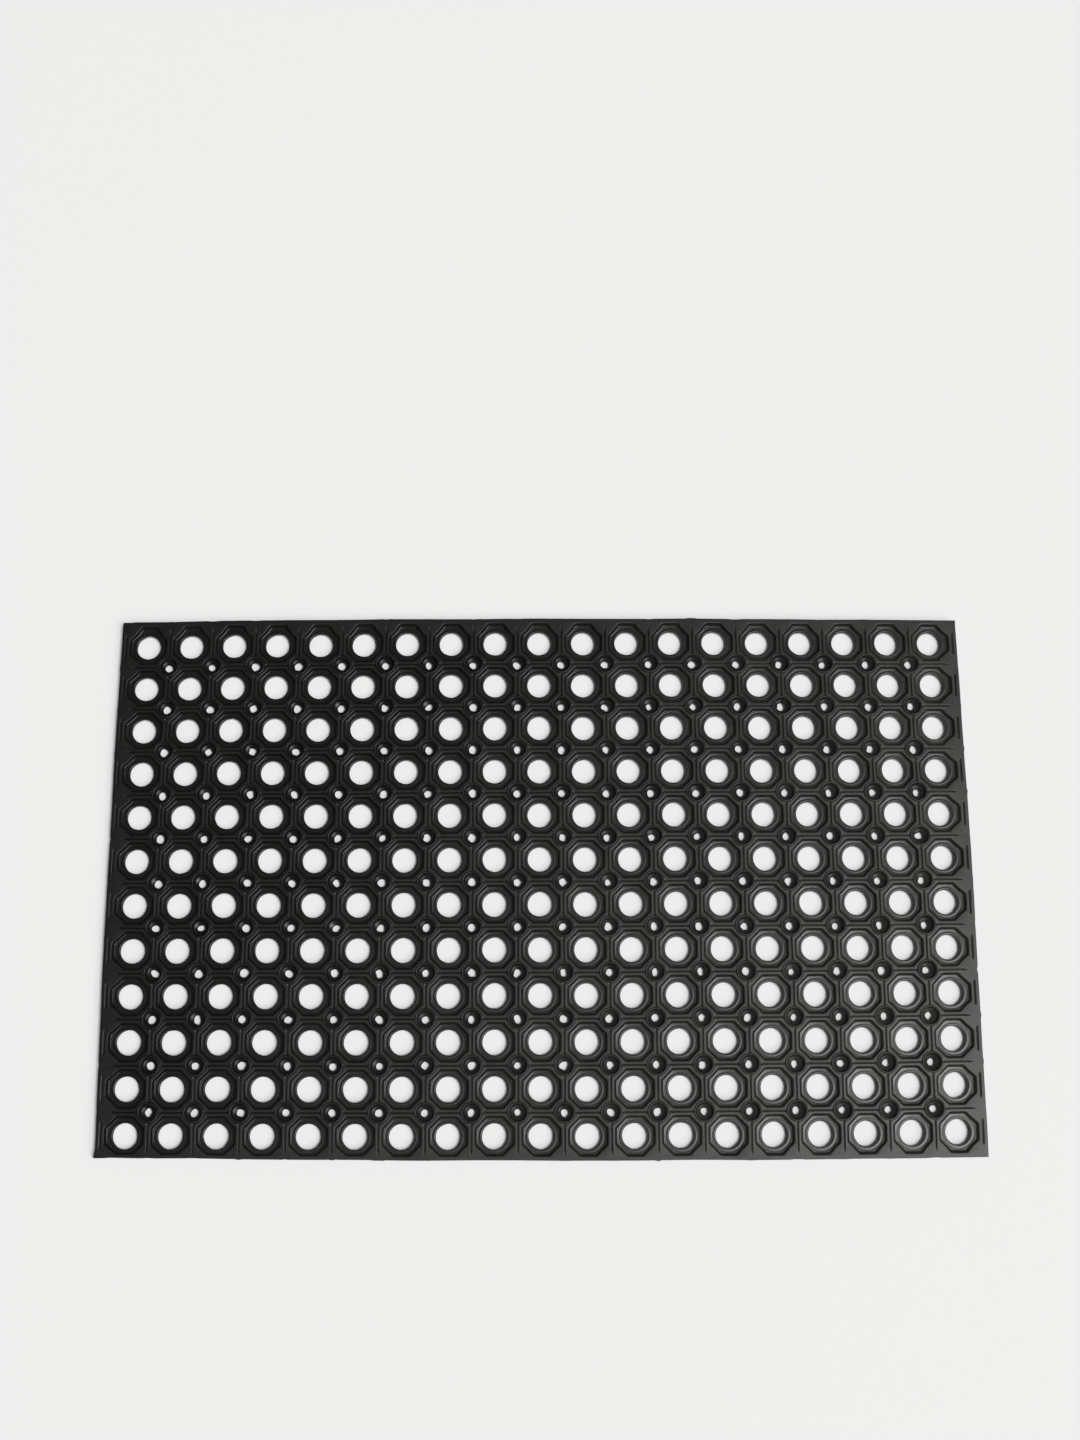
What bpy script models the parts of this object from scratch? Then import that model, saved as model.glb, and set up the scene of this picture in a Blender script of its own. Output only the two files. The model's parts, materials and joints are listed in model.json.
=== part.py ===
"""Moulded rubber ring mat, 800 x 500 x 10 mm, built as its columns of cells.

The mat is one black rubber moulding: a grid of square cells with an eight-sided recess
and a round drain hole in each, a small drain cup wherever four cells meet, and a plain
border.  It rolls up along the grooved seams between neighbouring columns of cells, so
each column is an object of its own, with its origin on the seam that it bends about.
X runs along the mat's length, Y along its width, and the underside lies at Z = 0.
"""
import math

import bmesh
import bpy

# Driving dimensions, in metres.
MAT_LENGTH = 0.800
MAT_WIDTH = 0.500
THICKNESS = 0.010
PITCH = 0.125 / 3                  # from cell to cell, both ways: three cells to 125 mm
LEAST_EDGE_LAND = 0.0015           # least rubber between a recess and the mat's edge

RIB_WIDTH = 0.0060                 # top of the rib between two neighbouring recesses
WALL_LEAN = 0.0013                 # how far a recess wall leans in, from its top to its foot
FLOOR_THICKNESS = 0.0035           # rubber under the foot of the recess wall; it dishes down
                                   # from there to the edge of the drain hole
DRAIN_HOLE_WIDTH = 0.0225          # across the flats of the faceted hole

CUP_WIDTH = 0.0150                 # mouth of the drain cup, across its corners
CUP_HOLE_WIDTH = 0.0063            # its outlet in the underside

BEND_LIMIT = math.radians(18)      # how far one seam bends, up or down
SEAM_GAP = 0.0003                  # clearance between neighbouring columns on the bend axis

RECESS_SIDES = 8
CUP_SIDES = 6
CUTTER_OVERRUN = 0.002             # how far a cutter passes the faces that it opens

RUBBER_COLOUR = (0.018, 0.018, 0.016, 1.0)
RUBBER_ROUGHNESS = 0.48

# Sizes that follow from them.
RECESS_WIDTH = PITCH - RIB_WIDTH   # across the flats of the eight-sided recess
EDGE_ROOM = RECESS_WIDTH / 2 + LEAST_EDGE_LAND
COLUMNS = 1 + int((MAT_LENGTH - 2 * EDGE_ROOM) / PITCH)
ROWS = 1 + int((MAT_WIDTH - 2 * EDGE_ROOM) / PITCH)
MIDDLE_COLUMN = COLUMNS // 2
END_BORDER = (MAT_LENGTH - COLUMNS * PITCH) / 2
BEND_HEIGHT = THICKNESS / 2
GROOVE_HALF_WIDTH = SEAM_GAP / 2 + BEND_HEIGHT * math.tan(BEND_LIMIT / 2)


def column_centre(index):
    """Return the X of a column's cell centres, counted from 0 at the -X end."""
    return (index - (COLUMNS - 1) / 2) * PITCH


def row_centre(index):
    """Return the Y of a row's cell centres, counted from 0 at the -Y side."""
    return (index - (ROWS - 1) / 2) * PITCH


def clear_scene():
    """Remove every object of the start-up scene."""
    for scene_object in list(bpy.data.objects):
        bpy.data.objects.remove(scene_object, do_unlink=True)


def rubber_material():
    """Return the one rubber compound that the whole mat is moulded from."""
    material = bpy.data.materials.new("black_rubber")
    material.use_nodes = True
    shader = material.node_tree.nodes["Principled BSDF"]
    shader.inputs["Base Color"].default_value = RUBBER_COLOUR
    shader.inputs["Roughness"].default_value = RUBBER_ROUGHNESS
    shader.inputs["Metallic"].default_value = 0.0
    material.diffuse_color = RUBBER_COLOUR
    return material


def add_stack(builder, sides, turn, centre, rings):
    """Add a closed many-sided solid: rings of (corner radius, height), lowest first."""
    centre_x, centre_y = centre
    levels = []
    for radius, height in rings:
        level = []
        for corner in range(sides):
            angle = turn + corner * math.tau / sides
            x = centre_x + radius * math.cos(angle)
            y = centre_y + radius * math.sin(angle)
            level.append(builder.verts.new((x, y, height)))
        levels.append(level)
    builder.faces.new(levels[0][::-1])
    for lower, upper in zip(levels, levels[1:]):
        for corner in range(sides):
            following = (corner + 1) % sides
            quad = (lower[corner], lower[following], upper[following], upper[corner])
            builder.faces.new(quad)
    builder.faces.new(levels[-1])


def recess_cutters(builder):
    """Add the cutter of each recess with its dished floor and drain hole.

    Heights are measured from the bend axis, as in the column that it cuts.
    """
    corner_ratio = 1 / math.cos(math.pi / RECESS_SIDES)
    hole = DRAIN_HOLE_WIDTH / 2 * corner_ratio
    foot = (RECESS_WIDTH / 2 - WALL_LEAN) * corner_ratio
    mouth = RECESS_WIDTH / 2 * corner_ratio
    top = THICKNESS - BEND_HEIGHT
    rings = (
        (hole, -BEND_HEIGHT - CUTTER_OVERRUN),
        (hole, -BEND_HEIGHT),
        (foot, FLOOR_THICKNESS - BEND_HEIGHT),
        (mouth, top),
        (mouth, top + CUTTER_OVERRUN),
    )
    for row in range(ROWS):
        centre = (PITCH / 2, row_centre(row))
        add_stack(builder, RECESS_SIDES, math.pi / RECESS_SIDES, centre, rings)


def cup_cutters(builder, seams):
    """Add the cutter of each drain cup on the given seams, given by their X."""
    top = THICKNESS - BEND_HEIGHT
    outlet = CUP_HOLE_WIDTH / 2
    mouth = CUP_WIDTH / 2
    slope = (mouth - outlet) / THICKNESS
    rings = (
        (outlet - slope * CUTTER_OVERRUN, -BEND_HEIGHT - CUTTER_OVERRUN),
        (mouth + slope * CUTTER_OVERRUN, top + CUTTER_OVERRUN),
    )
    for seam in seams:
        for row in range(ROWS - 1):
            centre = (seam, row_centre(row) + PITCH / 2)
            add_stack(builder, CUP_SIDES, math.pi / CUP_SIDES, centre, rings)


def column_blank(builder, is_end):
    """Add the uncut column: a bar along Y whose seam faces open into a groove."""
    top = THICKNESS - BEND_HEIGHT
    inner_groove = GROOVE_HALF_WIDTH
    inner_axis = SEAM_GAP / 2
    if is_end:
        outer_edge = PITCH + END_BORDER
        outline = [(outer_edge, -BEND_HEIGHT), (outer_edge, top)]
    else:
        outline = [
            (PITCH - GROOVE_HALF_WIDTH, -BEND_HEIGHT),
            (PITCH - SEAM_GAP / 2, 0.0),
            (PITCH - GROOVE_HALF_WIDTH, top),
        ]
    outline += [(inner_groove, top), (inner_axis, 0.0), (inner_groove, -BEND_HEIGHT)]
    corners = [builder.verts.new((x, -MAT_WIDTH / 2, z)) for x, z in outline]
    end_face = builder.faces.new(corners)
    swept = bmesh.ops.extrude_face_region(builder, geom=[end_face])["geom"]
    moved = [element for element in swept if isinstance(element, bmesh.types.BMVert)]
    bmesh.ops.translate(builder, verts=moved, vec=(0.0, MAT_WIDTH, 0.0))
    bmesh.ops.recalc_face_normals(builder, faces=builder.faces)


def mesh_from(name, shape, *settings):
    """Return a mesh holding what the shape function adds."""
    builder = bmesh.new()
    shape(builder, *settings)
    mesh = bpy.data.meshes.new(name)
    builder.to_mesh(mesh)
    builder.free()
    return mesh


def cutter_object(name, mesh):
    """Link a cutter, shown as wire and left out of the model."""
    cutter = bpy.data.objects.new(name, mesh)
    cutter.hide_render = True
    cutter.display_type = "WIRE"
    bpy.context.scene.collection.objects.link(cutter)
    return cutter


def column_mesh(name, is_end, material):
    """Return the mesh of one column, its recesses and its halves of the cups cut out."""
    seams = (0.0,) if is_end else (0.0, PITCH)
    cutters = [
        cutter_object(f"{name}_recesses", mesh_from("recess_cutters", recess_cutters)),
        cutter_object(f"{name}_cups", mesh_from("cup_cutters", cup_cutters, seams)),
    ]
    blank = bpy.data.objects.new(f"{name}_blank", mesh_from(name, column_blank, is_end))
    bpy.context.scene.collection.objects.link(blank)
    for cutter in cutters:
        cut = blank.modifiers.new(cutter.name, "BOOLEAN")
        cut.operation = "DIFFERENCE"
        cut.solver = "EXACT"
        cut.object = cutter
    finished = blank.evaluated_get(bpy.context.evaluated_depsgraph_get())
    mesh = bpy.data.meshes.new_from_object(finished)
    mesh.name = name
    mesh.materials.clear()
    mesh.materials.append(material)
    for helper in (blank, *cutters):
        bpy.data.objects.remove(helper, do_unlink=True)
    return mesh


def place_column(index, mesh):
    """Put a column down with its origin on the seam that it bends about.

    A column beyond the middle bends about the seam on its -X side.  One before the
    middle is turned half round, so that it bends about the seam on its +X side.
    """
    column = bpy.data.objects.new(f"cell_column_{index + 1:02d}", mesh)
    before_middle = index < MIDDLE_COLUMN
    to_seam = PITCH / 2 if before_middle else -PITCH / 2
    column.location = (column_centre(index) + to_seam, 0.0, BEND_HEIGHT)
    column.rotation_euler = (0.0, 0.0, math.pi if before_middle else 0.0)
    bpy.context.scene.collection.objects.link(column)
    return column


def build_mat():
    """Build every column of the mat from two meshes, one inner and one at the ends."""
    rubber = rubber_material()
    inner_mesh = column_mesh("inner_column", False, rubber)
    end_mesh = column_mesh("end_column", True, rubber)
    for index in range(COLUMNS):
        is_end = index in (0, COLUMNS - 1)
        place_column(index, end_mesh if is_end else inner_mesh)


clear_scene()
build_mat()
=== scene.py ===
"""Looks of the moulded rubber ring mat.

The mat is one black rubber moulding.  It is shaped here as strips that each reach from
the middle of one column of cells to the middle of the next, so that every strip holds
one whole seam, with its groove and its row of drain cups.
Lengths in the code are in metres, with +X along the mat, +Y across it and +Z up.
"""
import json
import math

import bpy
import numpy as np
from bpy.props import FloatProperty, FloatVectorProperty, IntProperty, PointerProperty
from bpy.types import Operator, Panel, PropertyGroup
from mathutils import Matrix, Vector

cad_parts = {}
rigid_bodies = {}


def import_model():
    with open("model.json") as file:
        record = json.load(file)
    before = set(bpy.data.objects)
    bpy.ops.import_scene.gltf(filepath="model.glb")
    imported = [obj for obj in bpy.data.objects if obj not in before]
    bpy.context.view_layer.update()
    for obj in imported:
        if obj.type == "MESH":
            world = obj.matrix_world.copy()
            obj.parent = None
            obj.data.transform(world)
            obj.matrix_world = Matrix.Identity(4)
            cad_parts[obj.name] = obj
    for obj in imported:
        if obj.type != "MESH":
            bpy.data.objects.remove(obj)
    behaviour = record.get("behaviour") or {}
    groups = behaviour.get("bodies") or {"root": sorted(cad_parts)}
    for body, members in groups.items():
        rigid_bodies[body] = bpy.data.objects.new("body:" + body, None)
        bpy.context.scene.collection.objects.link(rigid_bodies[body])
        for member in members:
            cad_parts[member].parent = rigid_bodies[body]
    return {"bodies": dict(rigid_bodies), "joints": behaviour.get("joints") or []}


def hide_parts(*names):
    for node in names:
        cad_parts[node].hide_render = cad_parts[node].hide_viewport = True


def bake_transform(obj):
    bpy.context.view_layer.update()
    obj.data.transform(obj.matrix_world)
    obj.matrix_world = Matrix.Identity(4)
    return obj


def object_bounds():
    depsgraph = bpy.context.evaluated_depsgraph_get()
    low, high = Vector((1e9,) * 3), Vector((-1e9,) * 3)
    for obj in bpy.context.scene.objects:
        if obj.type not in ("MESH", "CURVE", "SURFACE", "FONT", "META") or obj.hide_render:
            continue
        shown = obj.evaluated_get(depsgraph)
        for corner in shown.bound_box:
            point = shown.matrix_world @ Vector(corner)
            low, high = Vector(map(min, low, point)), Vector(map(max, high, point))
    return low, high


bl_info = {
    "name": "Rubber Ring Mat",
    "version": (1, 0, 0),
    "blender": (4, 5, 0),
    "location": "3D View > Sidebar > Ring Mat",
    "description": "Moulds a rubber ring mat around its frame and sets it on a pale floor",
    "category": "Object",
}

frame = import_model()
CAD_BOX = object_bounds()

MM = 0.001
COLUMN_BODIES = sorted(frame["bodies"])
SEAMS = sorted(joint["pos_m"][0] for joint in frame["joints"])
PITCH = (SEAMS[-1] - SEAMS[0]) / (len(SEAMS) - 1)
HALF_CELL = PITCH / 2
COLUMNS = len(COLUMN_BODIES)
LOWEST, HIGHEST = (Vector(corner) for corner in CAD_BOX)
MAT_SIZE = HIGHEST - LOWEST
ROWS = round(MAT_SIZE.y / PITCH)
END_BORDER = (MAT_SIZE.x - COLUMNS * PITCH) / 2

OCTAGON_STEP = math.pi / 4
CORNER_ROUNDING = 1.068      # a sharp octagon corner would lie at 1.082 times its apothem
FLOOR_REACH = 40.0           # from the middle of the floor to each of its sides
TREAD_START, TREAD_FULL = 0.70, 0.86    # shares of the thickness where the worn tread begins
ARC_STEPS = 8                # spokes over the quarter of a cup that one quarter cell holds


# ---------------------------------------------------------------- settings


class RingMatShape(PropertyGroup):
    """Sizes of one cell of the mat and of its border."""

    hole_diameter: FloatProperty(
        name="Drain hole", description="Diameter of the drain hole", unit="LENGTH",
        default=22.8 * MM)
    hole_wander: FloatProperty(
        name="Hole wander", description="How unevenly the drain holes are trimmed",
        unit="LENGTH", default=0.16 * MM)
    dish_diameter: FloatProperty(
        name="Dish", description="Diameter of the round step inside a recess",
        unit="LENGTH", default=30.6 * MM)
    recess_width: FloatProperty(
        name="Recess", description="Width of the eight-sided recess at its top",
        unit="LENGTH", default=36.3 * MM)
    recess_foot_width: FloatProperty(
        name="Recess foot", description="Width of the recess at the foot of its wall",
        unit="LENGTH", default=32.2 * MM)
    floor_height: FloatProperty(
        name="Recess floor", description="Height of the recess floor over the underside",
        unit="LENGTH", default=5.8 * MM)
    rib_drop: FloatProperty(
        name="Rib drop", description="How far the ribs lie below the rims of the cups",
        unit="LENGTH", default=1.3 * MM)
    groove_depth: FloatProperty(
        name="Groove depth", description="Depth of the groove along each seam",
        unit="LENGTH", default=1.0 * MM)
    cup_diameter: FloatProperty(
        name="Cup", description="Outer diameter of the round rim of a drain cup",
        unit="LENGTH", default=19.6 * MM)
    cup_hole_diameter: FloatProperty(
        name="Cup outlet", description="Diameter of the outlet at the foot of a cup",
        unit="LENGTH", default=7.0 * MM)
    cup_hole_wander: FloatProperty(
        name="Outlet wander", description="How unevenly the cup outlets are trimmed",
        unit="LENGTH", default=0.42 * MM)
    side_border: FloatProperty(
        name="Side border", description="Rubber beyond the last seam line at each side",
        unit="LENGTH", default=0.65 * MM)
    front_trim: FloatVectorProperty(
        name="Front trim", description="Rubber gained at the -X and +X ends of the -Y edge",
        subtype="TRANSLATION", size=2, unit="LENGTH", default=(-2.5 * MM, 1.5 * MM))
    back_trim: FloatVectorProperty(
        name="Back trim", description="Rubber gained at the -X and +X ends of the +Y edge",
        subtype="TRANSLATION", size=2, unit="LENGTH", default=(3.6 * MM, 1.9 * MM))
    end_trim: FloatProperty(
        name="End trim", description="Rubber gained at each end", unit="LENGTH",
        default=1.4 * MM)
    corner_shrink: FloatProperty(
        name="Corner shrink", description="How strongly the corners have drawn in as it cured",
        default=0.069)
    seed: IntProperty(
        name="Seed", description="Picks the set of small moulding faults", default=7)


class RingMatRubber(PropertyGroup):
    """Colours and surface of the rubber."""

    rubber_colour: FloatVectorProperty(
        name="Rubber", description="Colour of clean rubber", subtype="COLOR", size=4,
        default=(0.0034, 0.0034, 0.0030, 1.0))
    # This colour is laid both as a dusty bloom all over and as painted sheen towards the +X, -Y
    # end, where the lamps shine from.
    dust_and_sheen_colour: FloatVectorProperty(
        name="Dust", description="Colour of the dusty bloom on the rubber",
        subtype="COLOR", size=4, default=(0.056, 0.055, 0.049, 1.0))
    roughness: FloatProperty(
        name="Roughness", description="Roughness of clean rubber", subtype="FACTOR",
        default=0.275, min=0.0, max=1.0)


class RingMatStudio(PropertyGroup):
    """The floor, the lamps and the camera."""

    floor_colour: FloatVectorProperty(
        name="Floor", description="Colour of the floor", subtype="COLOR", size=4,
        default=(0.80, 0.80, 0.795, 1.0))
    lens: FloatProperty(
        name="Lens", description="Focal length of the camera in millimetres",
        default=45.87)
    camera_place: FloatVectorProperty(
        name="Camera place", description="Where the camera stands", subtype="TRANSLATION",
        unit="LENGTH", default=(-0.0031, -0.2765, 1.6876))
    camera_turn: FloatVectorProperty(
        name="Camera turn", description="How the camera is turned from looking straight down",
        subtype="EULER", unit="ROTATION",
        default=(math.radians(14.374), math.radians(-0.049), math.radians(-0.283)))


# ---------------------------------------------------------------- quarter cell


def octagon_radius(apothem, angles):
    """Return the distance from the middle to an octagon at each angle, corners rounded."""
    from_side = (angles + OCTAGON_STEP / 2) % OCTAGON_STEP - OCTAGON_STEP / 2
    return apothem * np.minimum(1 / np.cos(from_side), CORNER_ROUNDING)


class QuarterCell:
    """One quarter of a cell, from its centre to the seams on its +X and +Y sides.

    Points lie on spokes from the cell's centre, counted from the +X axis round to the
    +Y axis.  Each surface is a grid of rings over those spokes.  ends_x and ends_y say
    whether the seam on that side is the outermost one, which has no cup at its corner
    and carries the border.
    """

    def __init__(self, shape, ends_x, ends_y):
        self.shape = shape
        self.ends_x = ends_x
        self.ends_y = ends_y
        self.has_cup = not (ends_x or ends_y)
        self.thickness = MAT_SIZE.z
        self.rib_top = self.thickness - shape.rib_drop
        self.cup_radius = shape.cup_diameter / 2
        self.find_spokes()
        self.find_groove()

    def find_spokes(self):
        """Set the spokes' angles and the point where each meets the seam or the cup."""
        turn = np.linspace(1.5 * math.pi, math.pi, ARC_STEPS + 1)
        arc_x = HALF_CELL + self.cup_radius * np.cos(turn)
        arc_y = HALF_CELL + self.cup_radius * np.sin(turn)
        arc = np.arctan2(arc_y, arc_x)
        groove_end = math.atan2(HALF_CELL - self.cup_radius - 0.8 * MM, HALF_CELL)
        side = np.array([0.0, 7.5, 15.0, 22.5]) * math.pi / 180
        side = np.append(side, groove_end)
        self.angles = np.concatenate([side, arc, (math.pi / 2 - side)[::-1]])
        self.first_arc = len(side)
        self.last_arc = len(side) + ARC_STEPS
        self.middle = (self.first_arc + self.last_arc) // 2
        self.square = HALF_CELL / np.maximum(np.cos(self.angles), np.sin(self.angles))
        self.edge = self.square.copy()
        if self.has_cup:
            self.edge[self.first_arc:self.last_arc + 1] = np.hypot(arc_x, arc_y)

    def find_groove(self):
        """Set how much of the groove's depth is left where each spoke crosses the seam."""
        spokes = np.arange(len(self.angles))
        self.groove = ((spokes < self.first_arc) | (spokes > self.last_arc)).astype(float)
        if not self.has_cup:
            run_on = 2
            if self.ends_x and not self.ends_y:
                self.groove[self.last_arc - run_on + 1:] = 1.0
                self.groove[self.last_arc - run_on + 1] = 1.35
            if self.ends_y and not self.ends_x:
                self.groove[:self.first_arc + run_on] = 1.0
                self.groove[self.first_arc + run_on - 1] = 1.35
        if self.ends_y:
            self.groove[self.middle:] = 0.0

    def ring(self, radii, heights):
        """Return one ring of points from its radii and heights along the spokes."""
        radii = np.broadcast_to(radii, self.angles.shape)
        heights = np.broadcast_to(heights, self.angles.shape)
        x = radii * np.cos(self.angles)
        y = radii * np.sin(self.angles)
        return np.stack([x, y, heights], axis=-1)

    def rib_rings(self):
        """Return the rings over the rib, from the recess's brim to the seam."""
        shape = self.shape
        brim = octagon_radius(shape.recess_width / 2, self.angles)
        # (distance from the seam, share of the land beside a cup, share of groove depth)
        steps = ((2.15, 0.80, 0.05), (1.60, 0.60, 0.0), (1.10, 0.45, 0.0), (0.70, 0.30, 0.06),
                 (0.42, 0.16, 0.45), (0.16, 0.06, 0.94), (0.00, 0.00, 1.0))
        beside_cup = np.zeros(len(self.angles), bool)
        if self.has_cup:
            beside_cup[self.first_arc:self.last_arc + 1] = True
        rings = []
        for offset, share, depth in steps:
            inset = self.square * (1 - offset * MM / HALF_CELL)
            radii = np.where(beside_cup, self.edge - (self.edge - brim) * share, inset)
            drop = depth * shape.groove_depth * self.groove
            rings.append(self.ring(radii, self.rib_top - drop))
        return rings

    def body_grid(self):
        """Return the grid from the underside, up through the hole and recess, to the seam."""
        shape = self.shape
        hole = shape.hole_diameter / 2
        dish = shape.dish_diameter / 2
        floor = shape.floor_height
        foot = shape.recess_foot_width / 2
        brim = shape.recess_width / 2
        rings = [
            self.ring(self.edge, 0.0),
            self.ring(self.edge * 0.94, 0.0),
            self.ring(hole + 3.4 * MM, 0.0),
            self.ring(hole + 1.8 * MM, 0.0),
            self.ring(hole + 1.0 * MM, 1.0 * MM),
            self.ring(hole + 0.2 * MM, 2.3 * MM),
            self.ring(hole, 2.8 * MM),
        ]
        # (radius, depth below the recess floor) from the hole's collar out to the dish's step
        dish_steps = ((hole, 1.5), (hole + 0.08 * MM, 0.70), (hole + 0.35 * MM, 0.20),
                      (hole + 0.85 * MM, 0.0), (hole + 1.7 * MM, 0.02), (dish - 1.2 * MM, 0.10),
                      (dish - 0.45 * MM, 0.12), (dish - 0.1 * MM, 0.04), (dish + 0.2 * MM, 0.0))
        for radius, below in dish_steps:
            rings.append(self.ring(radius, floor - below * MM))
        wall = self.rib_top - floor
        wall_steps = ((foot - 0.35 * MM, 0.0), (foot, 0.025), (foot + 0.3 * MM, 0.12),
                      ((foot + brim) / 2 + 0.12 * MM, 0.55), (brim - 0.28 * MM, 0.925),
                      (brim - 0.02 * MM, 0.975), (brim + 0.2 * MM, 0.99))
        for apothem, share in wall_steps:
            radii = octagon_radius(apothem, self.angles)
            rings.append(self.ring(radii, floor + share * wall))
        return np.stack(rings + self.rib_rings())

    def cup_grid(self):
        """Return the grid from the cup's rim, down its funnel, to the underside."""
        shape = self.shape
        top = self.thickness
        outlet = shape.cup_hole_diameter / 2
        rim = self.cup_radius
        steps = (
            (rim, self.rib_top), (rim - 0.25 * MM, top - 0.5 * MM),
            (rim - 0.6 * MM, top - 0.12 * MM), (rim - 0.9 * MM, top),
            (rim - 1.4 * MM, top - 0.04 * MM), (rim - 1.7 * MM, top - 0.4 * MM),
            (rim - 1.95 * MM, top - 1.2 * MM), (rim - 2.2 * MM, top - 2.4 * MM),
            (rim - 2.45 * MM, top - 3.5 * MM), (rim - 2.8 * MM, top - 4.1 * MM),
            (rim - 3.6 * MM, top - 4.55 * MM), (rim - 4.8 * MM, top - 5.1 * MM),
            (outlet + 0.8 * MM, 4.5 * MM), (outlet + 0.3 * MM, 4.1 * MM), (outlet, 3.4 * MM),
            (outlet + 0.1 * MM, 2.7 * MM), (outlet + 1.0 * MM, 0.5 * MM), (outlet + 1.2 * MM, 0.0),
            (rim - 3.0 * MM, 0.0), (rim, 0.0),
        )
        turn = np.linspace(1.5 * math.pi, math.pi, ARC_STEPS + 1)
        rings = []
        for radius, height in steps:
            x = HALF_CELL + radius * np.cos(turn)
            y = HALF_CELL + radius * np.sin(turn)
            rings.append(np.stack([x, y, np.full(len(turn), height)], axis=-1))
        return np.stack(rings)

    def border_grid(self):
        """Return the grid over the border: out from the last seam, down and back under."""
        first = 0 if self.ends_x else self.middle
        last = len(self.angles) - 1 if self.ends_y else self.middle
        angles = self.angles[first:last + 1]
        groove = self.groove[first:last + 1]
        radii = self.square[first:last + 1]
        x, y = radii * np.cos(angles), radii * np.sin(angles)
        on_end = np.arange(first, last + 1) <= self.middle
        on_side = np.arange(first, last + 1) >= self.middle
        out_x = np.where(on_end & self.ends_x, END_BORDER, 0.0)
        out_y = np.where(on_side & self.ends_y, self.shape.side_border, 0.0)
        drop_at_edge = 0.5 * MM
        # (share of the border's width, share of groove depth, height)
        steps = (
            (0.00, 1.00, self.rib_top), (0.045, 0.88, self.rib_top),
            (0.11, 0.30, self.rib_top), (0.18, 0.04, self.rib_top),
            (0.36, 0.00, self.rib_top), (0.62, 0.00, self.rib_top),
            (0.87, 0.00, self.rib_top - 0.04 * MM), (0.96, 0.0, self.rib_top - 0.18 * MM),
            (1.00, 0.00, self.rib_top - drop_at_edge), (1.00, 0.00, 0.4 * MM),
            (0.97, 0.00, 0.0), (0.50, 0.0, 0.0), (0.00, 0.00, 0.0),
        )
        rings = []
        for share, depth, height in steps:
            drop = depth * self.shape.groove_depth * groove
            rings.append(np.stack([x + share * out_x, y + share * out_y, height - drop], axis=-1))
        return np.stack(rings)

    def grids(self):
        """Return every surface grid of this quarter cell."""
        made = [self.body_grid()]
        if self.has_cup:
            made.append(self.cup_grid())
        if self.ends_x or self.ends_y:
            made.append(self.border_grid())
        return made

    def cut_outline(self):
        """Return the outline of the rubber where a plane across X cuts the cell's middle."""
        outline = list(self.body_grid()[:, -1])
        if self.ends_y:
            outline += list(self.border_grid()[1:-1, -1])
        return np.array(outline)


# ---------------------------------------------------------------- moulding faults


def waves(x, y, longest, seed):
    """Return a smooth uneven field between about -1 and 1 with the given longest wave."""
    draw = np.random.RandomState(seed)
    total = np.zeros_like(x)
    for octave in range(6):
        angle, phase = draw.uniform(0, 2 * math.pi, 2)
        number = 2 * math.pi / longest * (1 + 0.55 * octave)
        along = x * math.cos(angle) + y * math.sin(angle)
        total += np.sin(number * along + phase) / (1 + 0.5 * octave)
    return total / 2.2


def fade(value, near, far):
    """Return 1 where value is at most near, 0 where it is far or more, smooth between."""
    part = np.clip((far - value) / (far - near), 0, 1)
    return part * part * (3 - 2 * part)


def uneven_circle(angle, draws, first_lobe):
    """Return an uneven radial shift round each circle from its own row of draws."""
    total = np.zeros_like(angle)
    lobes = draws.shape[1] // 2
    for lobe in range(lobes):
        number = first_lobe + lobe
        turn = 6.3 * draws[:, 2 * lobe + 1]
        total += draws[:, 2 * lobe] * np.cos(number * angle + turn) / number
    return total


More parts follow.
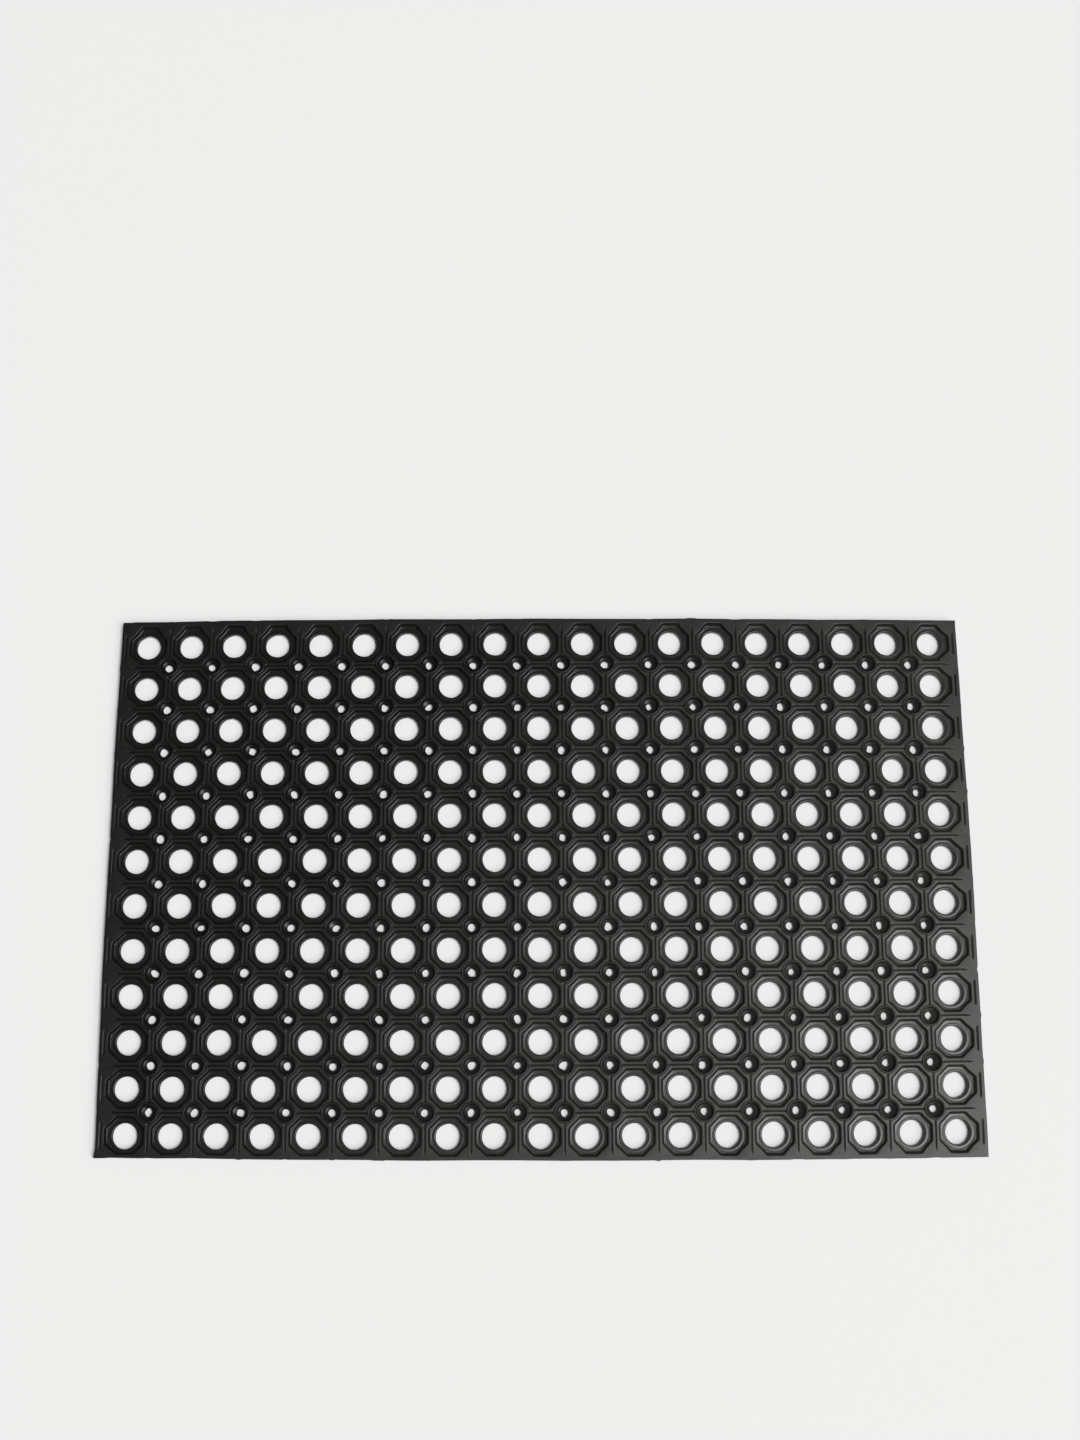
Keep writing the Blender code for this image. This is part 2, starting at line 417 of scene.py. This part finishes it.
class Faults:
    """The small irregularities of the moulding, the same for whatever shares a place."""

    def __init__(self, shape):
        self.shape = shape
        draw = np.random.RandomState(shape.seed)
        self.hole_draws = draw.normal(size=(COLUMNS, ROWS, 14))
        self.nick_draws = draw.uniform(size=(COLUMNS, ROWS, 3))
        self.cup_draws = draw.normal(size=(COLUMNS + 1, ROWS + 1, 8))
        self.cup_size_draws = draw.normal(size=(COLUMNS + 1, ROWS + 1, 3))

    def trim_holes(self, points):
        """Make each drain hole's edge slightly uneven, with a nick or nib on some."""
        column = np.clip(np.round(points[:, 0] / PITCH + (COLUMNS - 1) / 2), 0, COLUMNS - 1)
        row = np.clip(np.round(points[:, 1] / PITCH + (ROWS - 1) / 2), 0, ROWS - 1)
        centre_x = (column - (COLUMNS - 1) / 2) * PITCH
        centre_y = (row - (ROWS - 1) / 2) * PITCH
        away = np.hypot(points[:, 0] - centre_x, points[:, 1] - centre_y)
        angle = np.arctan2(points[:, 1] - centre_y, points[:, 0] - centre_x)
        hole = self.shape.hole_diameter / 2
        share = fade(away, hole + 0.6 * MM, hole + 2.4 * MM)
        cell = (column.astype(int), row.astype(int))
        shift = self.shape.hole_wander * uneven_circle(angle, self.hole_draws[cell], 2)
        nick = self.nick_draws[cell]
        turned = (angle - 2 * math.pi * nick[:, 0] + math.pi) % (2 * math.pi) - math.pi
        size = np.where(nick[:, 1] < 0.3, 0.55 * MM * (nick[:, 2] - 0.35), 0.0)
        shift += size * np.exp(-(turned / 0.10) ** 2)
        away = np.maximum(away, 1e-9)
        points[:, 0] += (points[:, 0] - centre_x) / away * shift * share
        points[:, 1] += (points[:, 1] - centre_y) / away * shift * share

    def trim_cups(self, points):
        """Make each cup's outlet uneven in size, shape and place."""
        column = np.round(points[:, 0] / PITCH + COLUMNS / 2)
        row = np.round(points[:, 1] / PITCH + ROWS / 2)
        centre_x = (column - COLUMNS / 2) * PITCH
        centre_y = (row - ROWS / 2) * PITCH
        away = np.hypot(points[:, 0] - centre_x, points[:, 1] - centre_y)
        angle = np.arctan2(points[:, 1] - centre_y, points[:, 0] - centre_x)
        outlet = self.shape.cup_hole_diameter / 2
        share = fade(away, outlet + 0.3 * MM, outlet + 1.9 * MM)
        cup = (np.clip(column, 0, COLUMNS).astype(int), np.clip(row, 0, ROWS).astype(int))
        wander = self.shape.cup_hole_wander
        shift = wander * uneven_circle(angle, self.cup_draws[cup], 2)
        shift += wander * 0.45 * self.cup_size_draws[cup][:, 0]
        shift = np.clip(shift, -0.35 * outlet, 0.3 * outlet)
        away = np.maximum(away, 1e-9)
        points[:, 0] += (points[:, 0] - centre_x) / away * shift * share
        points[:, 1] += (points[:, 1] - centre_y) / away * shift * share
        points[:, 0] += share * wander * 0.6 * self.cup_size_draws[cup][:, 1]
        points[:, 1] += share * wander * 0.6 * self.cup_size_draws[cup][:, 2]

    def pull_out_of_true(self, points):
        """Give the sheet its uneven edges, its slight waviness and its drawn-in corners."""
        shape = self.shape
        x, y, z = points.T.copy()
        along = np.clip(x / MAT_SIZE.x + 0.5, 0, 1)
        front, back = shape.front_trim, shape.back_trim
        trim = np.where(y < 0, front[0] + along * (front[1] - front[0]),
                        back[0] + along * (back[1] - back[0]))
        start = shape.hole_diameter / 2 + 0.8 * MM
        outer = np.clip((np.abs(y) - (ROWS - 1) * HALF_CELL - start) / (HALF_CELL - start), 0, 1)
        ripple = 0.35 * MM * waves(x, np.sign(y) * 0.1, 0.24, shape.seed + 3)
        points[:, 1] += np.sign(y) * outer * (trim + ripple)
        outer = (np.abs(x) - (COLUMNS - 1) * HALF_CELL - start) / (HALF_CELL - start)
        outer = np.clip(outer, 0, 1)
        ripple = 0.4 * MM * waves(np.sign(x) * 0.1, y, 0.19, shape.seed + 4)
        points[:, 0] += np.sign(x) * outer * (shape.end_trim + ripple)
        spur_reach = 3.0 * MM
        spur = np.exp(-np.hypot(x - LOWEST.x, y - LOWEST.y) / spur_reach)
        points[:, 0] -= 2.2 * MM * spur
        points[:, 1] -= 0.6 * MM * spur
        points[:, 0] += 0.25 * MM * waves(x, y, 0.21, shape.seed + 1)
        points[:, 1] += 0.25 * MM * waves(x, y, 0.21, shape.seed + 2)
        points[:, 2] = z * (1 + 0.012 * waves(x, y, 0.16, shape.seed + 5) - 0.012)
        drawn_in = shape.corner_shrink * ((x * x + y * y) - 0.105)
        points[:, 0] *= 1 - drawn_in
        points[:, 1] *= 1 - drawn_in

    def apply(self, points):
        """Move the points by every fault in turn."""
        self.trim_holes(points)
        self.trim_cups(points)
        self.pull_out_of_true(points)


# ---------------------------------------------------------------- strips


def column_centre(index):
    """Return the X of a column's cell centres, counted from 0 at the -X end."""
    return (index - (COLUMNS - 1) / 2) * PITCH


def row_centre(index):
    """Return the Y of a row's cell centres, counted from 0 at the -Y side."""
    return (index - (ROWS - 1) / 2) * PITCH


class WholeMat:
    """Collects the quarter cells of the whole mat, welds them, and cuts the mat into strips.

    The surface normals are worked out before the cut, so that the cuts do not show.
    """

    def __init__(self):
        self.points = []
        self.faces = []
        self.owners = []
        self.caps = []
        self.count = 0

    def place(self, points, side_x, side_y, centre):
        """Mirror points into their quarter of a cell, keep them, and return their numbers."""
        placed = points.reshape(-1, 3) * (side_x, side_y, 1) + (*centre, 0.0)
        first = self.count
        self.points.append(placed)
        self.count += len(placed)
        return np.arange(first, self.count)

    def add_grid(self, strip, grid, side_x, side_y, centre):
        """Add one surface grid to a strip."""
        numbers = self.place(grid, side_x, side_y, centre).reshape(grid.shape[:2])
        quads = np.stack([numbers[:-1, :-1], numbers[:-1, 1:], numbers[1:, 1:], numbers[1:, :-1]],
                         axis=-1).reshape(-1, 4)
        self.faces.append(quads if side_x * side_y > 0 else quads[:, ::-1])
        self.owners.append(np.full(len(quads), strip))

    def add_cap(self, strip, outline, side_x, side_y, centre):
        """Add the flat face where a strip is cut at the middle of a column."""
        numbers = self.place(outline, side_x, side_y, centre)
        self.caps.append((strip, numbers if side_x * side_y < 0 else numbers[::-1], -side_x))

    def add_cells(self, shape):
        """Add every quarter cell, each to the strip that holds its seam."""
        quarters = {(ends_x, ends_y): QuarterCell(shape, ends_x, ends_y)
                    for ends_x in (False, True) for ends_y in (False, True)}
        for column in range(COLUMNS):
            for side_x in (-1, 1):
                ends_x = (column, side_x) in ((0, -1), (COLUMNS - 1, 1))
                strip = min(max(column if side_x > 0 else column - 1, 0), COLUMNS - 2)
                for row in range(ROWS):
                    centre = (column_centre(column), row_centre(row))
                    for side_y in (-1, 1):
                        ends_y = (row, side_y) in ((0, -1), (ROWS - 1, 1))
                        quarter = quarters[ends_x, ends_y]
                        for grid in quarter.grids():
                            self.add_grid(strip, grid, side_x, side_y, centre)
                        if 0 < column < COLUMNS - 1:
                            self.add_cap(strip, quarter.cut_outline(), side_x, side_y, centre)

    def weld(self, faults):
        """Join points that coincide, apply the faults, and work out the normals."""
        points = np.concatenate(self.points)
        keys = np.round(points / (0.002 * MM)).astype(np.int64)
        _, first, numbers = np.unique(keys, axis=0, return_index=True, return_inverse=True)
        numbers = numbers.reshape(-1)
        self.welded = points[first]
        self.quads = numbers[np.concatenate(self.faces)]
        self.owner = np.concatenate(self.owners)
        self.caps = [(strip, numbers[cap], facing) for strip, cap, facing in self.caps]
        self.rest_place = self.welded.copy()
        faults.apply(self.welded)
        corners = self.welded[self.quads]
        face_normals = np.cross(corners[:, 2] - corners[:, 0], corners[:, 3] - corners[:, 1])
        sizes = np.linalg.norm(face_normals, axis=1, keepdims=True)
        face_normals /= np.maximum(np.sqrt(sizes), 1e-12)
        self.normals = np.zeros_like(self.welded)
        for corner in range(4):
            np.add.at(self.normals, self.quads[:, corner], face_normals)
        self.normals /= np.maximum(np.linalg.norm(self.normals, axis=1, keepdims=True), 1e-12)

    def strip_mesh(self, strip):
        """Return the closed mesh of one strip, counted from 0 at the -X end."""
        quads = self.quads[self.owner == strip]
        caps = [(cap, facing) for owner, cap, facing in self.caps if owner == strip]
        used, quads = np.unique(quads, return_inverse=True)
        quads = quads.reshape(-1, 4)
        renumber = np.full(len(self.welded), -1)
        renumber[used] = np.arange(len(used))
        faces = quads.tolist() + [renumber[cap].tolist() for cap, _ in caps]
        mesh = bpy.data.meshes.new(f"ring_mat_strip_{strip + 1:02d}")
        mesh.from_pydata(self.welded[used].tolist(), [], faces)
        mesh.polygons.foreach_set("use_smooth", [True] * len(faces))
        smooth = self.normals[used][quads.reshape(-1)]
        flat = [np.tile((float(facing), 0.0, 0.0), (len(cap), 1)) for cap, facing in caps]
        mesh.normals_split_custom_set(np.concatenate([smooth, *flat]).tolist())
        rest_place = self.rest_place[used]
        tread = 1 - fade(rest_place[:, 2], TREAD_START * MAT_SIZE.z, TREAD_FULL * MAT_SIZE.z)
        place_kept = mesh.attributes.new("rest_place", "FLOAT_VECTOR", "POINT")
        place_kept.data.foreach_set("vector", rest_place.astype(np.float32).ravel())
        tread_kept = mesh.attributes.new("tread", "FLOAT", "POINT")
        tread_kept.data.foreach_set("value", tread.astype(np.float32))
        mesh.update()
        return mesh


# ---------------------------------------------------------------- shader maths


class Link:
    """A shader value, so that a formula on values adds the Math nodes that work it out."""

    def __init__(self, tree, socket):
        self.tree = tree
        self.socket = socket

    def maths(self, operation, *values):
        """Add one Math node over this value and others."""
        node = add_node(self.tree, "ShaderNodeMath", {"operation": operation},
                        {number: value for number, value in enumerate((self, *values))})
        return Link(self.tree, node.outputs[0])

    def __add__(self, other):
        return self.maths("ADD", other)

    def __radd__(self, other):
        return self.maths("ADD", other)

    def __mul__(self, other):
        return self.maths("MULTIPLY", other)

    def __rmul__(self, other):
        return self.maths("MULTIPLY", other)

    def __sub__(self, other):
        return self.maths("SUBTRACT", other)

    def __rsub__(self, other):
        return (self * -1.0).maths("ADD", other)

    def clamped(self):
        """Return this value kept between 0 and 1."""
        return self.maths("MAXIMUM", 0.0).maths("MINIMUM", 1.0)


def add_node(tree, kind, settings=None, values=None):
    """Add a node, set its settings, then set or link the sockets named by key or number."""
    node = tree.nodes.new(kind)
    for name, setting in (settings or {}).items():
        if name == "stops":
            ramp = node.color_ramp
            while len(ramp.elements) < len(setting):
                ramp.elements.new(1.0)
            for element, (place, level) in zip(ramp.elements, setting):
                element.position = place
                element.color = (level, level, level, 1.0)
        else:
            setattr(node, name, setting)
    for key, value in (values or {}).items():
        socket = node.inputs[key]
        if isinstance(value, Link):
            tree.links.new(value.socket, socket)
        else:
            socket.default_value = value
    return node


def noise(tree, place, scale, detail, roughness=0.5):
    """Return a noise value over the surface."""
    node = add_node(tree, "ShaderNodeTexNoise", {"noise_dimensions": "3D"},
                    {"Vector": place, "Scale": scale, "Detail": detail, "Roughness": roughness})
    return Link(tree, node.outputs["Fac"])


def ramp(tree, value, *stops):
    """Return a value remapped through a ramp of (place, level) stops."""
    node = add_node(tree, "ShaderNodeValToRGB", {"stops": stops}, {"Fac": value})
    return Link(tree, node.outputs["Color"])


def mix_colours(tree, share, first, second):
    """Return two colours mixed by a share."""
    node = add_node(tree, "ShaderNodeMix", {"data_type": "RGBA"},
                    {"Factor": share, 6: first, 7: second})
    return Link(tree, node.outputs[2])


def stretched(tree, place, scale, turn):
    """Return the surface's place scaled and turned, for streaky patterns."""
    node = add_node(tree, "ShaderNodeMapping", {},
                    {"Vector": place, "Rotation": turn, "Scale": scale})
    return Link(tree, node.outputs["Vector"])


def rubber_material(finish):
    """Return the satin black rubber with its dusty bloom, scuffs and fine grain, and with painted
    sheen that makes it lighter towards the +X, -Y end, where the lamps shine from.
    """
    material = bpy.data.materials.new("satin_black_rubber")
    material.use_nodes = True
    tree = material.node_tree
    tree.nodes.clear()
    output = add_node(tree, "ShaderNodeOutputMaterial")
    kept = add_node(tree, "ShaderNodeAttribute", {"attribute_name": "rest_place"})
    place = Link(tree, kept.outputs["Vector"])
    along = add_node(tree, "ShaderNodeSeparateXYZ", {}, {"Vector": place})
    x, y = Link(tree, along.outputs["X"]), Link(tree, along.outputs["Y"])
    kept = add_node(tree, "ShaderNodeAttribute", {"attribute_name": "tread"})
    tread = Link(tree, kept.outputs["Fac"])

    patches = ramp(tree, noise(tree, place, 26.0, 4.0, 0.6), (0.40, 0.0), (0.68, 1.0))
    mottle = ramp(tree, noise(tree, place, 170.0, 5.0, 0.65), (0.38, 0.0), (0.72, 1.0))
    brushed = stretched(tree, place, (90.0, 620.0, 120.0), (0.0, 0.0, 0.6))
    streaks = ramp(tree, noise(tree, brushed, 1.0, 3.0, 0.6), (0.50, 0.0), (0.76, 1.0))
    grain = noise(tree, place, 1500.0, 3.0, 0.6)

    # Painted sheen: the rubber grows lighter towards +X and -Y, the end the lamps shine from, in
    # place of their reflection there; patches, mottle and streaks break it up. The first sum below
    # is the real dusty bloom, at random over the whole mat.
    painted_sheen_end = (0.29 + x * 1.25 - y * 0.9).clamped()
    dust_and_sheen = 0.02 + patches * 0.04 + mottle * 0.04
    dust_and_sheen = dust_and_sheen + painted_sheen_end * (0.30 + patches * 0.24 + mottle * 0.16 + streaks * 0.16)
    dust_and_sheen = (dust_and_sheen * (0.60 + grain * 0.8)).clamped()
    colour = mix_colours(tree, dust_and_sheen, tuple(finish.rubber_colour), tuple(finish.dust_and_sheen_colour))
    rough = (finish.roughness + tread * 0.09 + dust_and_sheen * 0.06 + (grain - 0.5) * 0.08).clamped()

    dimples = noise(tree, place, 420.0, 4.0, 0.55)
    height = dimples * 0.6 + grain * 0.4
    bump = add_node(tree, "ShaderNodeBump", {},
                    {"Strength": 0.22, "Distance": 0.25 * MM, "Height": height})
    shader = add_node(tree, "ShaderNodeBsdfPrincipled", {}, {
        "Base Color": colour, "Roughness": rough, "Normal": Link(tree, bump.outputs["Normal"]),
        "Specular IOR Level": 0.30})
    tree.links.new(shader.outputs[0], output.inputs["Surface"])
    return material


def floor_material(studio):
    """Return the matt floor paint."""
    material = bpy.data.materials.new("pale_floor")
    material.use_nodes = True
    tree = material.node_tree
    tree.nodes.clear()
    output = add_node(tree, "ShaderNodeOutputMaterial")
    shader = add_node(tree, "ShaderNodeBsdfPrincipled", {}, {
        "Base Color": tuple(studio.floor_colour), "Roughness": 0.75})
    tree.links.new(shader.outputs[0], output.inputs["Surface"])
    return material


# ---------------------------------------------------------------- operators


class RINGMAT_OT_mould_strips(Operator):
    """Mould every strip of the mat between its two columns of cells and hide the CAD parts it
    replaces
    """

    bl_idname = "ringmat.mould_strips"
    bl_label = "Mould Strips"

    def execute(self, context):
        shape = context.scene.ring_mat_shape
        faults = Faults(shape)
        rubber = rubber_material(context.scene.ring_mat_rubber)
        mat = WholeMat()
        mat.add_cells(shape)
        mat.weld(faults)
        for index in range(COLUMNS - 1):
            mesh = mat.strip_mesh(index)
            mesh.materials.append(rubber)
            strip = bpy.data.objects.new(mesh.name, mesh)
            context.scene.collection.objects.link(strip)
            replaced = COLUMN_BODIES[index:index + 1]
            if index + 1 == COLUMNS - 1:
                replaced = COLUMN_BODIES[index:index + 2]
            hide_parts(*replaced)
            column_centre(index)
            column_centre(index + 1)
            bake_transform(strip)
        return {"FINISHED"}


def add_lamp(name, place, spread, power, colour):
    """Add one soft, even, distant lamp that shines from its place towards the mat."""
    lamp = bpy.data.lights.new(name, "SUN")
    lamp.angle = spread
    lamp.energy = power
    lamp.color = colour
    holder = bpy.data.objects.new(name, lamp)
    holder.location = place
    holder.rotation_euler = (-Vector(place)).to_track_quat("-Z", "Y").to_euler()
    bpy.context.scene.collection.objects.link(holder)


class RINGMAT_OT_set_stage(Operator):
    """Lay the floor, hang the lamps and place the camera"""

    bl_idname = "ringmat.set_stage"
    bl_label = "Set Stage"

    def execute(self, context):
        studio = context.scene.ring_mat_studio
        half = FLOOR_REACH
        floor_mesh = bpy.data.meshes.new("floor")
        corners = [(-half, -half, 0.0), (half, -half, 0.0), (half, half, 0.0), (-half, half, 0.0)]
        floor_mesh.from_pydata(corners, [], [(0, 1, 2, 3)])
        floor_mesh.materials.append(floor_material(studio))
        floor = bpy.data.objects.new("floor", floor_mesh)
        floor.location.z = -0.0002
        context.scene.collection.objects.link(floor)

        add_lamp("key_lamp", (1.44, -0.48, 4.0), math.radians(22.0), 2.4, (1.0, 1.0, 1.0))
        add_lamp("side_lamp", (3.0, -2.4, 4.2), math.radians(40.0), 1.05, (1.0, 1.0, 1.0))

        world = bpy.data.worlds.new("studio")
        world.use_nodes = True
        background = world.node_tree.nodes["Background"]
        background.inputs["Color"].default_value = (1.0, 0.985, 0.96, 1.0)
        background.inputs["Strength"].default_value = 0.11
        context.scene.world = world
        context.scene.view_settings.view_transform = "Standard"

        camera = bpy.data.objects.new("camera", bpy.data.cameras.new("camera"))
        camera.location = studio.camera_place
        camera.rotation_euler = studio.camera_turn
        camera.data.lens = studio.lens
        context.scene.collection.objects.link(camera)
        context.scene.camera = camera
        return {"FINISHED"}


class RINGMAT_PT_panel(Panel):
    """Lists the steps that make the mat"""

    bl_idname = "RINGMAT_PT_panel"
    bl_label = "Ring Mat"
    bl_space_type = "VIEW_3D"
    bl_region_type = "UI"
    bl_category = "Ring Mat"

    def draw(self, context):
        layout = self.layout
        for settings, operator in (
                (context.scene.ring_mat_shape, RINGMAT_OT_mould_strips),
                (context.scene.ring_mat_rubber, None),
                (context.scene.ring_mat_studio, RINGMAT_OT_set_stage)):
            box = layout.box()
            for name in settings.bl_rna.properties.keys():
                if name not in ("rna_type", "name"):
                    box.prop(settings, name)
            if operator:
                box.operator(operator.bl_idname)


CLASSES = (RingMatShape, RingMatRubber, RingMatStudio, RINGMAT_OT_mould_strips,
           RINGMAT_OT_set_stage, RINGMAT_PT_panel)
SETTINGS = {"ring_mat_shape": RingMatShape, "ring_mat_rubber": RingMatRubber,
            "ring_mat_studio": RingMatStudio}


def register():
    """Register the classes and hang the settings on the scene."""
    for each in CLASSES:
        bpy.utils.register_class(each)
    for name, group in SETTINGS.items():
        setattr(bpy.types.Scene, name, PointerProperty(type=group))


def unregister():
    """Take the settings and the classes away again."""
    for name in SETTINGS:
        delattr(bpy.types.Scene, name)
    for each in reversed(CLASSES):
        bpy.utils.unregister_class(each)


def main():
    register()
    bpy.ops.ringmat.mould_strips()
    bpy.ops.ringmat.set_stage()


if __name__ == "__main__":
    main()
